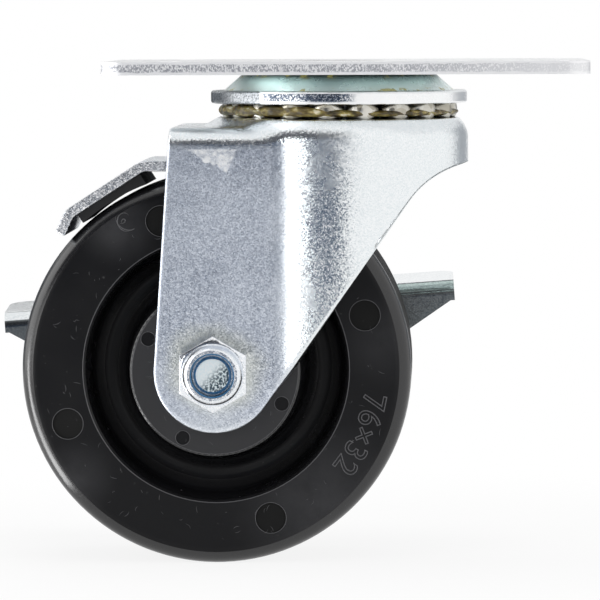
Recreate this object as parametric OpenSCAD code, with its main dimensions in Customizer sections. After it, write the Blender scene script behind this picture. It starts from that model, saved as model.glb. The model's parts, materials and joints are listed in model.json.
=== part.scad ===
// Swivel top plate castor with a foot-operated side brake.
// The origin is where the swivel axis meets the plate's top face, with +Z up.
// The wheel trails towards -X, and the brake pedal is on the +Y side.

/* [Top plate] */
// Thickness of the plate
plate_t = 2.5; // [2:0.1:4]
// Radius of the plate's corners
plate_corner_r = 4.5; // [2:0.1:7]
// Distance between bolt slots, along X
bolt_pitch_l = 74.6; // [68:0.1:90]
// Distance between bolt slots, along Y
bolt_pitch_w = 44.45; // [42:0.05:64]
// Distance from a slot's middle to the plate's end
plate_end = 9.3; // [7.5:0.05:14]
// Distance from a slot's middle to the plate's side
plate_side = 7.92; // [6:0.02:12]
// Distance from the swivel axis to the plate's middle, along X
plate_shift = 1.8; // [0:0.1:3]
// Width of a bolt slot
slot_w = 8.7; // [6:0.1:9]
// Length of a bolt slot, along X
slot_l = 11.9; // [9.5:0.1:14]

/* [Swivel bearing] */
// Diameter of the upper balls
ball_d = 6.35; // [5.5:0.05:6.5]
// Number of upper balls
ball_count = 19; // [12:1:19]
// Radius of the circle that the upper balls run on
ball_track_r = 20; // [19.8:0.1:20.6]
// Diameter of the lower balls
lower_ball_d = 4.76; // [4:0.02:5]
// Number of lower balls
lower_ball_count = 14; // [8:1:14]
// Radius of the circle that the lower balls run on
lower_track_r = 11.5; // [11.2:0.1:12.5]
// Height of the upper race, from the plate to its rim's underside
race_h = 5.8; // [5.4:0.1:7]
// Thickness of the upper race's sheet
race_t = 2.5; // [2:0.1:2.8]
// Radius of the upper race's flat top
race_top_r = 18.75; // [17:0.05:19.5]
// Radius of the foot of the upper race's flank
race_flank_r = 22.5; // [21.5:0.1:23.5]
// Radius of the upper race's rim
race_rim_r = 25.1; // [24.4:0.1:27]
// Open height between the upper race and the fork
race_gap = 2.4; // [2:0.1:3]
// Thickness of the lower race
lower_race_t = 2.2; // [1.9:0.1:3]
// Radius of the lower race
lower_race_r = 15; // [14.2:0.1:15.5]
// Diameter of the kingpin's shank
kingpin_d = 12; // [10:0.1:12.6]
// Diameter of the kingpin's sunk head and of its peened end
kingpin_head_d = 18; // [15:0.1:20]
// Height of the kingpin's peened end
kingpin_peen_h = 2; // [1:0.1:2.6]
// Room between the kingpin and the fork's crown
kingpin_play = 0.6; // [0.3:0.05:1]
// Room between a ball and its groove
ball_play = 0.06; // [0.02:0.01:0.1]

/* [Fork] */
// Thickness of the fork's sheet
fork_t = 2.5; // [2.2:0.1:3]
// Clear width between the legs
fork_gap = 41; // [38:0.1:42.4]
// Outer radius of the round crown
crown_r = 25.3; // [25:0.1:26]
// Radius of the crown's outer top edge
crown_corner_r = 3; // [2.6:0.1:3.2]
// Height of the crown above the roof in front of it
crown_step = 2; // [1.8:0.1:2.4]
// Inner radius of the bend from roof to leg
bend_r = 1; // [0.5:0.1:1.5]
// Radius of the hollow where a leg runs into the crown
leg_blend_r = 10; // [6:0.5:14]
// Radius of a leg's round lower end
leg_end_r = 11.7; // [10:0.1:13]
// Distance from the swivel axis to the roof's front edge
roof_front = 32.1; // [31.5:0.1:33.5]
// Distance from the crown's rear to the corner where a leg's rear edge meets the skirt
rear_inset = 7.6; // [7.2:0.1:12]
// Angle of the crown skirt's lower edge
skirt_angle = 14; // [8:0.5:18]
// Depth of the crown skirt at the rear, below the crown's top
skirt_h = 9.3; // [8.4:0.1:11]
// Radius of the sweep from rear edge to skirt
rear_sweep_r = 17; // [12:0.5:20]

/* [Wheel] */
// Diameter of the wheel
wheel_d = 75.6; // [66:0.1:88]
// Width across the rim
tread_w = 31.75; // [28:0.05:34]
// Room between the hub and a leg
hub_room = 0.5; // [0.3:0.05:1]
// Diameter of the hub's face
hub_d = 33; // [30:0.1:34]
// Outer diameter of the side groove
groove_d = 50.7; // [49:0.1:56]
// Depth of the side groove below the rim
groove_h = 9.5; // [6:0.1:10.5]
// Radius of the tread's shoulders
shoulder_r = 3.2; // [1.5:0.1:5]
// Diameter of the ejector marks on the rim
rim_mark_d = 6; // [3:0.1:7]
// Diameter of the ejector marks on the hub
hub_mark_d = 2.8; // [1.5:0.1:3]
// Depth of the ejector marks
mark_h = 0.25; // [0.1:0.05:0.4]
// Room between the fork's roof and the wheel
wheel_room = 6.6; // [6.6:0.1:9]
// Distance that the wheel trails behind the swivel axis
trail = 23.6; // [23.2:0.1:25]

/* [Axle] */
// Diameter of the axle bolt
axle_d = 7.94; // [7:0.02:8]
// Outer diameter of the sleeve that the wheel turns on
sleeve_d = 12.7; // [11.6:0.1:14]
// Width across flats of the bolt's head and the lock nut
hex_af = 12.7; // [12.2:0.1:13.5]
// Height of the bolt's head
bolt_head_h = 5.3; // [4:0.1:6.5]
// Height of the lock nut's hexagon
nut_hex_h = 6.2; // [5:0.1:7]
// Height of the collar on the lock nut
nut_collar_h = 2.2; // [1.6:0.1:3]
// Outer diameter of the collar at its open end
nut_collar_d = 10.3; // [10:0.1:11.4]
// Depth of the bolt's end below the collar's rim
bolt_end_depth = 1.4; // [0.5:0.1:2]
// Diameter of the washer under the bolt's head
washer_d = 18; // [15:0.1:20]
// Thickness of the washer
washer_t = 1.6; // [1:0.1:2.5]
// Room round a turning fit
run_play = 0.07; // [0.02:0.01:0.1]
// Room round the bolt where it passes through
bolt_play = 0.12; // [0.05:0.01:0.2]

/* [Brake] */
// Thickness of the brake leaf
leaf_t = 2; // [1.6:0.1:2.1]
// Width of the brake leaf
leaf_w = 32; // [26:0.5:36]
// Length of the leaf's root under the roof
leaf_root_l = 5.5; // [5:0.1:6]
// Distance from the swivel axis to the leaf's rear end
leaf_rear = 16; // [15.8:0.1:16.5]
// Drop of the leaf from its root to its flat
leaf_drop = 4; // [3.9:0.1:4.2]
// Angle of the joggle in the leaf
joggle_angle = 65; // [60:1:75]
// Inner radius of the joggle's bends
joggle_r = 1.5; // [1:0.1:1.8]
// Slope of the leaf where it carries the pad
pad_slope = 32.9; // [30:0.1:36]
// Inner radius of the leaf's other bends
leaf_bend_r = 2.5; // [1:0.1:4]
// Length of the slope, between its corners
slope_l = 16.2; // [16:0.1:22]
// Further bend at the leaf's tip
tip_turn = 33; // [10:1:50]
// Length of the tip
tip_l = 4; // [2.5:0.1:8]
// Thickness of the pad in its middle
pad_t = 1.5; // [1.2:0.1:3]
// Width of the pad, along Y
pad_w = 30; // [20:0.5:34]
// Length of the pad, along the slope
pad_l = 14.4; // [10:0.1:14.6]
// Distance from the middle of the pad to the point of the leaf nearest to the axle
pad_shift = 1.1; // [0:0.1:1.2]
// Gap between the pad and the tread with the brake off
pad_gap = 0.5; // [0.5:0.05:0.8]
// Thickness of the pedal's plate
pedal_t = 2.5; // [2:0.1:3]
// Room between the pedal and the fork's crown
pedal_room = 0.4; // [0.3:0.05:1]
// Room beside the pedal on its bush
pedal_side_play = 0.2; // [0.1:0.05:0.3]
// Tilt of the pedal with the brake off, right end up
pedal_tilt = 4.1; // [3:0.1:5]
// Reach of the pedal's left tab past the wheel
left_reach = 6.7; // [3:0.1:12]
// Reach of the pedal's right tab past the wheel
right_reach = 9.2; // [5:0.1:16]
// Height of the foot tabs' top above the axle
tab_top = 11.6; // [10:0.1:15]
// Height of the tabs' end faces
tab_end_h = 3.6; // [3.4:0.1:6]
// Depth of the foot tabs, out from the plate
tab_depth = 17; // [12:0.5:24]
// Rise of the foot tabs towards their outer edge, in degrees
tab_rise = 4.5; // [0:0.5:8]
// Inner radius of the bend at the foot tabs
tab_bend_r = 0.6; // [0.4:0.1:1]
// Radius of the tabs' outer corners
tab_corner_r = 4; // [1:0.5:6]
// Radius of the pedal round the axle
pedal_eye_r = 17; // [14:0.5:18]
// Distance from the roof's front edge to the cam stud
stud_inset = 2.1; // [1.9:0.1:2.4]
// Gap between the cam stud and the leaf with the brake off
stud_gap = 0.87; // [0.8:0.01:0.95]
// Diameter of the cam stud
stud_d = 2.8; // [2.4:0.1:2.8]
// Overlap of the cam stud over the leaf, from the leaf's side edge
stud_overlap = 8; // [4:0.5:12]
// Diameter of the bush that the pedal rocks on
bush_d = 12; // [11:0.1:14]
// Diameter of the bush's shoulder
bush_flange_d = 17; // [15:0.5:20]

/* [Hidden] */
$fn = 96;
zinc = "#c3ccd2";
steel = "#b4b8bb";
black_plastic = "#232427";
black_rubber = "#151618";
blue_nylon = "#3d79b0";
// Largest angle between neighbouring points of a bend
arc_step = 4;
// Cutters run past the faces that they open by this much
over = 1;
// Sunk seats that stay still have this room
seat_play = 0.02;
// Round surfaces that run into flat ones are sunk into them by this much
blend_sink = 0.02;
edge_chamfer = 0.3;
thread_chamfer = 0.8;
groove_lip = 0.5;
mark_margin = 0.3;

plate_l = bolt_pitch_l + 2 * plate_end;
plate_w = bolt_pitch_w + 2 * plate_side;
hub_l = fork_gap - 2 * hub_room;

// Heights, from the plate's top down
plate_under = -plate_t;
rim_under = plate_under - race_h;
ball_z = rim_under - race_gap / 2;
crown_top = rim_under - race_gap;
crown_under = crown_top - fork_t;
roof_top = crown_top - crown_step;
roof_under = roof_top - fork_t;
track_lift = 0.2;
track_under = roof_under + track_lift;
groove_r = ball_d / 2 + ball_play;
lower_groove_r = lower_ball_d / 2 + ball_play;
lower_sink = 0.94;
lower_ball_z = crown_under + lower_sink - lower_groove_r;
lower_race_top = lower_ball_z - lower_groove_r + lower_sink;
lower_race_under = lower_race_top - lower_race_t;
axle_x = -trail;
axle_z = roof_under - wheel_room - wheel_d / 2;
fork_floor = axle_z - leg_end_r - over;

// Places across the castor, along Y
leg_in = fork_gap / 2;
leg_out = leg_in + fork_t;
pedal_in = crown_r + pedal_room;
pedal_out = pedal_in + pedal_t;
bush_step = pedal_in - pedal_side_play;
bush_end = pedal_out + pedal_side_play;
washer_end = bush_end + washer_t;
nut_end = leg_out + nut_hex_h + nut_collar_h;
bolt_end = nut_end - bolt_end_depth;
insert_t = 1.6;
insert_d = 8.6;

// Side view of the fork: the tangent points of its edges
roof_corner = [-roof_front, roof_top];
axle = [axle_x, axle_z];
skirt_dir = [cos(skirt_angle), sin(skirt_angle)];
front_touch = tangent_point(roof_corner, axle, leg_end_r, 1);
rear_corner = [crown_r - rear_inset, crown_top - skirt_h - rear_inset * tan(skirt_angle)];
rear_touch = tangent_point(rear_corner, axle, leg_end_r, -1);
rear_edge_angle = atan2(rear_corner[1] - rear_touch[1], rear_corner[0] - rear_touch[0]);
rear_dir = [cos(rear_edge_angle), sin(rear_edge_angle)];
sweep_half = (rear_edge_angle - skirt_angle) / 2;
sweep_setback = rear_sweep_r * tan(sweep_half);
sweep_start = rear_corner - sweep_setback * rear_dir;
sweep_stop = rear_corner + sweep_setback * skirt_dir;
sweep_centre = sweep_start + rear_sweep_r * [rear_dir[1], -rear_dir[0]];

// Plan view of the fork: centre of the hollow between leg and crown
blend_y = leg_out + leg_blend_r - blend_sink;
blend_x = -sqrt(pow(crown_r + leg_blend_r - blend_sink, 2) - pow(blend_y, 2));
blend_turn = atan2(-blend_x, blend_y);
blend_depth = 7;
dish_room = 0.6;

// Side view of the leaf: lengths of its straight runs
joggle_arc = (2 * joggle_r + leaf_t) * (1 - cos(joggle_angle));
joggle_l = (leaf_drop - joggle_arc) / sin(joggle_angle);
joggle_run = (2 * joggle_r + leaf_t) * sin(joggle_angle) + joggle_l * cos(joggle_angle);
flat_under = roof_under - leaf_drop - leaf_t;
leaf_reach = wheel_d / 2 + pad_gap + pad_t;
pad_dir = [-sin(pad_slope), cos(pad_slope)];
slope_corner_x = axle_x + (leaf_reach - (flat_under - axle_z) * pad_dir[1]) / pad_dir[0];
slope_setback = leaf_bend_r * tan(pad_slope / 2);
tip_setback = leaf_bend_r * tan(tip_turn / 2);
flat_l = -slope_corner_x - leaf_rear - leaf_root_l - joggle_run - slope_setback;
leaf_runs = [
    [leaf_root_l, -joggle_angle, joggle_r],
    [joggle_l, joggle_angle, joggle_r],
    [flat_l, -pad_slope, leaf_bend_r],
    [slope_l - slope_setback - tip_setback, -tip_turn, leaf_bend_r],
    [tip_l - tip_setback, 0, 0]
];

// Pedal: places in its own frame, with the axle as origin
pedal_left = wheel_d / 2 + left_reach;
pedal_right = wheel_d / 2 + right_reach;
tab_bend_z = tab_top - tab_bend_r - pedal_t;
tab_low = tab_top - tab_end_h;
eye_touch_r = pedal_eye_r - blend_sink;
right_touch = tangent_point([pedal_right, tab_low], [0, 0], eye_touch_r, -1);
left_touch = tangent_point([-pedal_left, tab_low], [0, 0], eye_touch_r, 1);
arm_r = 3.9;
arm_neck = 3.7;
arm_root = 8.5;
tab_relief = 3;
stud_inner = leaf_w / 2 - stud_overlap;
stud_step = 0.3;
notch_side_room = 0.4;
notch_top_room = 0.5;
notch_travel = 1.7;
stud_place = [stud_inset - roof_front, flat_under + leaf_t + stud_gap + stud_d / 2];
stud_off = stud_place - axle;
stud_x = stud_off[0] * cos(pedal_tilt) + stud_off[1] * sin(pedal_tilt);
stud_z = stud_off[1] * cos(pedal_tilt) - stud_off[0] * sin(pedal_tilt);
notch_rear = stud_place[0] + stud_d / 2 + notch_side_room;
notch_top = stud_place[1] + stud_d / 2 + notch_top_room;
notch_low = stud_place[1] - stud_d / 2 - notch_travel;

// Point where a line from p touches a circle; side is 1 or -1
function tangent_point(p, c, r, side) =
    let (d = p - c, l = norm(d), a = atan2(d[1], d[0]) + side * acos(r / l))
    c + r * [cos(a), sin(a)];

// Points along an arc, both ends included
function arc(c, r, from, to) =
    let (n = ceil(abs(to - from) / arc_step))
    [for (i = [0 : n]) let (a = from + (to - from) * i / n) c + r * [cos(a), sin(a)]];

// Direction square to a heading, to its left
function left_of(heading) = [-sin(heading), cos(heading)];

// One face of a bent sheet seen on its edge, at the height off above its lower face.
// Each run is a length, the turn after it and the inner radius of that bend.
function sheet_face(runs, t, off, k = 0, p = [0, 0], heading = 0) =
    k == len(runs) ? [] :
    let (
        turn = runs[k][1],
        end = p + runs[k][0] * [cos(heading), sin(heading)],
        centre_off = turn > 0 ? t + runs[k][2] : -runs[k][2],
        centre = end + centre_off * left_of(heading),
        n = turn == 0 ? 1 : ceil(abs(turn) / arc_step),
        bend = [for (i = [0 : n]) centre + (off - centre_off) * left_of(heading + turn * i / n)]
    )
    concat(
        k == 0 ? [p + off * left_of(heading)] : [],
        turn == 0 ? [end + off * left_of(heading)] : bend,
        sheet_face(runs, t, off, k + 1, centre - centre_off * left_of(heading + turn), heading + turn)
    );

function reversed(points) = [for (i = [len(points) - 1 : -1 : 0]) points[i]];

// Bent sheet seen on its edge, with its lower face starting at the origin along +x
module bent_sheet(runs, t) {
    polygon(concat(sheet_face(runs, t, 0), reversed(sheet_face(runs, t, t))));
}

// Stands an XZ outline up and gives it a width from y0 to y1
module stand(y0, y1) {
    translate([0, y1, 0])
        rotate([90, 0, 0])
            linear_extrude(y1 - y0)
                children();
}

// Puts its children, made along +Z from the origin, on the axle at y, pointing to +Y
module on_axle(y) {
    translate([axle_x, y, axle_z])
        rotate([-90, 0, 0])
            children();
}

// Straight tube along +Z
module tube(r_out, r_in, h) {
    difference() {
        cylinder(r = r_out, h = h);
        translate([0, 0, -over])
            cylinder(r = r_in, h = h + 2 * over);
    }
}

// Hexagon with its outer corners turned off, along +Z, points up and down
module hex_blank(af, h) {
    flat_r = af / 2;
    corner_r = flat_r / cos(30);
    bevel_slope = 0.6;
    bevel_h = bevel_slope * (corner_r - flat_r);
    intersection() {
        rotate(90)
            cylinder(r = corner_r, h = h, $fn = 6);
        rotate_extrude()
            polygon([
                [0, 0],
                [corner_r + blend_sink, 0],
                [corner_r + blend_sink, h - bevel_h],
                [flat_r - edge_chamfer, h],
                [0, h]
            ]);
    }
}

// Round groove for a ring of balls
module ball_groove(track_r, z, r) {
    rotate_extrude()
        translate([track_r, z])
            circle(r);
}

module ball_ring(count, track_r, z, d) {
    for (i = [0 : count - 1])
        rotate(360 * i / count)
            translate([track_r, 0, z])
                sphere(d = d);
}

module top_plate() {
    straight_l = plate_l - 2 * plate_corner_r;
    straight_w = plate_w - 2 * plate_corner_r;
    slot_run = slot_l - slot_w;
    sink_r = kingpin_d / 2 + seat_play;
    color(zinc)
        difference() {
            translate([plate_shift, 0, plate_under])
                linear_extrude(plate_t)
                    union() {
                        square([plate_l, straight_w], center = true);
                        square([straight_l, plate_w], center = true);
                        for (sx = [-1, 1], sy = [-1, 1])
                            translate([sx * straight_l / 2, sy * straight_w / 2])
                                circle(plate_corner_r);
                    }
            for (sx = [-1, 1], sy = [-1, 1])
                translate([plate_shift + sx * bolt_pitch_l / 2, sy * bolt_pitch_w / 2, plate_under - over])
                    linear_extrude(plate_t + 2 * over)
                        union() {
                            square([slot_run, slot_w], center = true);
                            for (s = [-1, 1])
                                translate([s * slot_run / 2, 0])
                                    circle(d = slot_w);
                        }
            translate([0, 0, plate_under])
                cylinder(r1 = sink_r, r2 = kingpin_head_d / 2 + seat_play, h = plate_t);
        }
}

module upper_race() {
    inner_top = plate_under - race_t;
    // Inside of the race, as shares of the groove's radius
    foot_share = 0.75;
    foot_lift_share = 0.45;
    top_share = 1.7;
    inner_foot_r = ball_track_r - foot_share * groove_r;
    inner_foot_z = rim_under + foot_lift_share * groove_r;
    inner_top_r = ball_track_r - top_share * groove_r;
    color(zinc)
        difference() {
            rotate_extrude()
                polygon([
                    [kingpin_d / 2 + seat_play, plate_under],
                    [race_top_r, plate_under],
                    [race_flank_r, rim_under + race_t],
                    [race_rim_r - edge_chamfer, rim_under + race_t],
                    [race_rim_r, rim_under + race_t - edge_chamfer],
                    [race_rim_r, rim_under + edge_chamfer],
                    [race_rim_r - edge_chamfer, rim_under],
                    [ball_track_r, rim_under],
                    [inner_foot_r, inner_foot_z],
                    [inner_top_r, inner_top],
                    [kingpin_d / 2 + seat_play, inner_top]
                ]);
            ball_groove(ball_track_r, ball_z, groove_r);
        }
}

module kingpin() {
    shank_r = kingpin_d / 2;
    head_r = kingpin_head_d / 2;
    // Corners of the peened end, as shares of its radius and of its height
    peen_shares = [[1, 0], [1, 0.3], [0.88, 0.75], [0.65, 1], [0, 1]];
    peen = [for (s = peen_shares) [s[0] * head_r, lower_race_under - s[1] * kingpin_peen_h]];
    color(steel)
        rotate_extrude()
            polygon(concat(
                [[0, 0], [head_r, 0], [shank_r, plate_under], [shank_r, lower_race_under]],
                peen
            ));
}

module lower_race() {
    color(steel)
        difference() {
            translate([0, 0, lower_race_under])
                tube(lower_race_r, kingpin_d / 2 + seat_play, lower_race_t);
            ball_groove(lower_track_r, lower_ball_z, lower_groove_r);
        }
}

module upper_balls() {
    color(steel)
        ball_ring(ball_count, ball_track_r, ball_z, ball_d);
}

module lower_balls() {
    color(steel)
        ball_ring(lower_ball_count, lower_track_r, lower_ball_z, lower_ball_d);
}

// Outline of the fork seen from the side, in X and Z
module fork_side() {
    front_angle = atan2(front_touch[1] - axle_z, front_touch[0] - axle_x);
    skirt_reach = (crown_r + over - sweep_stop[0]) / skirt_dir[0];
    polygon(concat(
        arc(axle, leg_end_r, front_angle, rear_edge_angle + 270),
        arc(sweep_centre, rear_sweep_r, rear_edge_angle + 90, skirt_angle + 90),
        [
            sweep_stop + skirt_reach * skirt_dir,
            [crown_r + over, crown_top + over],
            [roof_corner[0], crown_top + over],
            roof_corner
        ]
    ));
}

// Filled form of the fork, half_w wide to each side, with the half section of its crown as a child
module fork_form(half_w, roof_z, roof_corner_r, blend_r) {
    h = roof_z - fork_floor;
    translate([-roof_front - leg_end_r, 0, 0])
        rotate([90, 0, 90])
            linear_extrude(roof_front + leg_end_r)
                union() {
                    translate([-half_w, fork_floor])
                        square([2 * half_w, h - roof_corner_r]);
                    translate([roof_corner_r - half_w, roof_z - roof_corner_r])
                        square([2 * (half_w - roof_corner_r), roof_corner_r]);
                    for (s = [-1, 1])
                        translate([s * (half_w - roof_corner_r), roof_z - roof_corner_r])
                            circle(roof_corner_r);
                }
    rotate_extrude()
        children();
    for (s = [0, 1])
        mirror([0, s, 0])
            translate([blend_x, -blend_y, 0])
                rotate(90 - blend_turn)
                    rotate_extrude(angle = blend_turn)
                        blend_section(blend_r, roof_z - blend_sink, roof_corner_r);
}

// Half section of the crown: radius, top, and the radius c of its upper edge
module crown_half(r, top, c) {
    translate([0, fork_floor])
        square([r, top - c - fork_floor]);
    translate([0, top - c])
        square([r - c, c]);
    translate([r - c, top - c])
        circle(c);
}

// Section of the hollow between leg and crown, seen from the hollow's centre
module blend_section(blend_r, top, c) {
    difference() {
        union() {
            translate([blend_r, fork_floor])
                square([blend_depth, top - c - fork_floor]);
            translate([blend_r + c, top - c])
                square([blend_depth - c, c]);
            translate([blend_r + c, top - c])
                circle(c);
        }
        translate([blend_r + blend_depth, fork_floor])
            square([2 * c + blend_depth, top - fork_floor + over]);
    }
}

module fork() {
    dish_r = lower_race_r + dish_room;
    color(zinc)
        difference() {
            intersection() {
                difference() {
                    fork_form(leg_out, roof_top, bend_r + fork_t, leg_blend_r)
                        crown_half(crown_r, crown_top, crown_corner_r);
                    fork_form(leg_in, roof_under, bend_r, leg_blend_r + fork_t)
                        union() {
                            crown_half(crown_r - fork_t, track_under, bend_r);
                            polygon([
                                [0, track_under - over],
                                [dish_r + crown_under - track_under + over, track_under - over],
                                [dish_r, crown_under],
                                [0, crown_under]
                            ]);
                        }
                }
                stand(-crown_r - over, crown_r + over)
                    fork_side();
            }
            ball_groove(ball_track_r, ball_z, groove_r);
            ball_groove(lower_track_r, lower_ball_z, lower_groove_r);
            translate([0, 0, crown_under - over])
                cylinder(r = kingpin_d / 2 + kingpin_play, h = fork_t + 2 * over);
            on_axle(-leg_out - over)
                cylinder(r = axle_d / 2 + 2 * bolt_play, h = 2 * (leg_out + over));
            translate([-roof_front - leg_end_r, leg_in - over, notch_low])
                cube([roof_front + leg_end_r + notch_rear, fork_t + 2 * over, notch_top - notch_low]);
        }
}

// Half section of the wheel: radius along x, distance along the axle in y
module wheel_half_section() {
    r = wheel_d / 2;
    rim = tread_w / 2;
    hub = hub_l / 2;
    bore_r = sleeve_d / 2 + run_play;
    hub_r = hub_d / 2;
    draft = 0.8;
    floor_in = hub_r + draft;
    floor_out = groove_d / 2 - draft;
    floor_r = (floor_out - floor_in) / 2;
    floor_y = rim - groove_h + floor_r;
    difference() {
        union() {
            translate([bore_r, -over])
                square([hub_r + draft - bore_r, hub + over]);
            translate([hub_r, -over])
                square([r - hub_r - shoulder_r, rim + over]);
            translate([r - shoulder_r, -over])
                square([shoulder_r, rim - shoulder_r + over]);
            translate([r - shoulder_r, rim - shoulder_r])
                circle(shoulder_r);
        }
        translate([floor_in + floor_r, floor_y])
            circle(floor_r);
        polygon([
            [floor_in, floor_y],
            [hub_r, hub - groove_lip],
            [hub_r - groove_lip, hub],
            [hub_r - groove_lip, hub + over],
            [groove_d / 2 + groove_lip, hub + over],
            [groove_d / 2 + groove_lip, rim],
            [groove_d / 2, rim - groove_lip],
            [floor_out, floor_y]
        ]);
    }
}

module wheel() {
    rim_mark_offset = 0.7;
    rim_mark_r = (wheel_d / 2 - shoulder_r + groove_d / 2) / 2 + rim_mark_offset;
    hub_mark_r = hub_d / 2 - groove_lip - hub_mark_d / 2 - mark_margin;
    rim_mark_turn = 20;
    hub_mark_turn = 64;
    color(black_plastic)
        on_axle(0)
            difference() {
                rotate_extrude()
                    union() {
                        wheel_half_section();
                        mirror([0, 1])
                            wheel_half_section();
                    }
                for (side = [0, 1], k = [0 : 3])
                    mirror([0, 0, side]) {
                        rotate(90 * k - rim_mark_turn)
                            translate([rim_mark_r, 0, tread_w / 2 - mark_h])
                                cylinder(d = rim_mark_d, h = mark_h + over);
                        rotate(90 * k - hub_mark_turn)
                            translate([hub_mark_r, 0, hub_l / 2 - mark_h])
                                cylinder(d = hub_mark_d, h = mark_h + over);
                    }
            }
}

module axle_sleeve() {
    color(steel)
        on_axle(-leg_in)
            tube(sleeve_d / 2, axle_d / 2 + bolt_play, fork_gap);
}

module axle_bolt() {
    r = axle_d / 2;
    shank_l = washer_end + bolt_end;
    color(zinc)
        union() {
            on_axle(-bolt_end)
                rotate_extrude()
                    polygon([
                        [0, 0],
                        [r - thread_chamfer, 0],
                        [r, thread_chamfer],
                        [r, shank_l + over],
                        [0, shank_l + over]
                    ]);
            on_axle(washer_end)
                hex_blank(hex_af, bolt_head_h);
        }
}

module axle_washer() {
    color(zinc)
        on_axle(bush_end)
            tube(washer_d / 2, axle_d / 2 + bolt_play, washer_t);
}

module lock_nut() {
    collar_r = nut_collar_d / 2;
    collar_inset = 0.4;
    collar_swell = 0.5;
    collar_foot_r = hex_af / 2 - collar_inset;
    nut_l = nut_hex_h + nut_collar_h;
    color(zinc)
        on_axle(-leg_out)
            mirror([0, 0, 1])
                difference() {
                    union() {
                        hex_blank(hex_af, nut_hex_h);
                        rotate_extrude()
                            polygon([
                                [0, nut_hex_h - over],
                                [collar_foot_r, nut_hex_h - over],
                                [collar_foot_r, nut_hex_h],
                                [collar_r + collar_swell, nut_hex_h + nut_collar_h / 2],
                                [collar_r, nut_l - edge_chamfer],
                                [collar_r - edge_chamfer, nut_l],
                                [0, nut_l]
                            ]);
                    }
                    translate([0, 0, -over])
                        cylinder(r = axle_d / 2 + bolt_play / 2, h = nut_l + 2 * over);
                    translate([0, 0, nut_l - insert_t - edge_chamfer])
                        cylinder(d = insert_d, h = insert_t + over);
                }
}

module lock_nut_insert() {
    color(blue_nylon)
        on_axle(-nut_end + edge_chamfer)
            tube(insert_d / 2 - seat_play, axle_d / 2 + bolt_play / 2, insert_t);
}

// Frame of the pedal: the axle as origin, tilted as at rest
module in_pedal_frame() {
    translate([axle_x, 0, axle_z])
        rotate([0, -pedal_tilt, 0])
            children();
}

// Outline of the pedal's plate below its bends, with the arm for the cam stud
module pedal_outline() {
    circle(pedal_eye_r);
    polygon([
        [0, 0],
        right_touch,
        [pedal_right, tab_low],
        [pedal_right, tab_bend_z],
        [-pedal_left, tab_bend_z],
        [-pedal_left, tab_low],
        left_touch
    ]);
    polygon([
        [stud_x - arm_root, 0],
        [stud_x + arm_root, 0],
        [stud_x + arm_neck, stud_z],
        [stud_x - arm_neck, stud_z]
    ]);
    translate([stud_x, stud_z])
        circle(arm_r);
}

// One foot tab: the bend and the flat beyond it, from x0 to x1
module foot_tab(x0, x1) {
    bend_turn = 90 - tab_rise;
    flat = tab_depth - tab_bend_r - pedal_t;
    intersection() {
        translate([x0, pedal_in, tab_bend_z - over])
            rotate([90, 0, 90])
                linear_extrude(x1 - x0)
                    rotate(90)
                        translate([0, -pedal_t])
                            bent_sheet([[over, -bend_turn, tab_bend_r], [flat, 0, 0]], pedal_t);
        tab_plan(x0, x1);
    }
}

// Plan of a foot tab, with its two outer corners rounded
module tab_plan(x0, x1) {
    edge_y = pedal_in + tab_depth;
    linear_extrude(2 * tab_top)
        union() {
            translate([x0, pedal_in - over])
                square([x1 - x0, edge_y - tab_corner_r - pedal_in + over]);
            translate([x0 + tab_corner_r, pedal_in])
                square([x1 - x0 - 2 * tab_corner_r, edge_y - pedal_in]);
            for (x = [x0 + tab_corner_r, x1 - tab_corner_r])
                translate([x, edge_y - tab_corner_r])
                    circle(tab_corner_r);
        }
}

module brake_pedal() {
    right_start = stud_x + arm_root + tab_relief;
    left_start = stud_x - arm_root - tab_relief;
    color(zinc)
        in_pedal_frame()
            difference() {
                union() {
                    stand(pedal_in, pedal_out)
                        pedal_outline();
                    foot_tab(right_start, pedal_right);
                    foot_tab(-pedal_left, left_start);
                }
                translate([0, pedal_in - over, 0])
                    rotate([-90, 0, 0])
                        cylinder(r = bush_d / 2 + run_play, h = pedal_t + 2 * over);
                translate([stud_x, pedal_in - over, stud_z])
                    rotate([-90, 0, 0])
                        cylinder(r = stud_d / 2 - stud_step + seat_play, h = pedal_t + 2 * over);
            }
}

module cam_stud() {
    r = stud_d / 2;
    tenon_r = r - stud_step;
    rivet_lip = 0.8;
    rivet_top_lip = 0.3;
    rivet_h = 1;
    color(steel)
        in_pedal_frame()
            translate([stud_x, stud_inner, stud_z])
                rotate([-90, 0, 0])
                    rotate_extrude()
                        polygon([
                            [0, 0],
                            [r - edge_chamfer, 0],
                            [r, edge_chamfer],
                            [r, pedal_in - stud_inner],
                            [tenon_r, pedal_in - stud_inner],
                            [tenon_r, pedal_out - stud_inner],
                            [r + rivet_lip, pedal_out - stud_inner],
                            [r + rivet_top_lip, pedal_out - stud_inner + rivet_h],
                            [0, pedal_out - stud_inner + rivet_h]
                        ]);
}

module pedal_bush() {
    shoulder_l = bush_step - leg_out;
    color(steel)
        on_axle(leg_out)
            union() {
                tube(bush_flange_d / 2, axle_d / 2 + bolt_play, shoulder_l);
                translate([0, 0, shoulder_l])
                    tube(bush_d / 2, axle_d / 2 + bolt_play, bush_end - bush_step);
            }
}

module brake_leaf() {
    color(zinc)
        stand(-leaf_w / 2, leaf_w / 2)
            translate([-leaf_rear, roof_under - leaf_t])
                mirror([1, 0])
                    bent_sheet(leaf_runs, leaf_t);
}

module brake_pad() {
    tread_r = wheel_d / 2 + pad_gap;
    color(black_rubber)
        stand(-pad_w / 2, pad_w / 2)
            translate(axle)
                rotate(pad_slope)
                    difference() {
                        translate([pad_shift - pad_l / 2, 0])
                            square([pad_l, leaf_reach]);
                        circle(tread_r);
                    }
}

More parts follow.
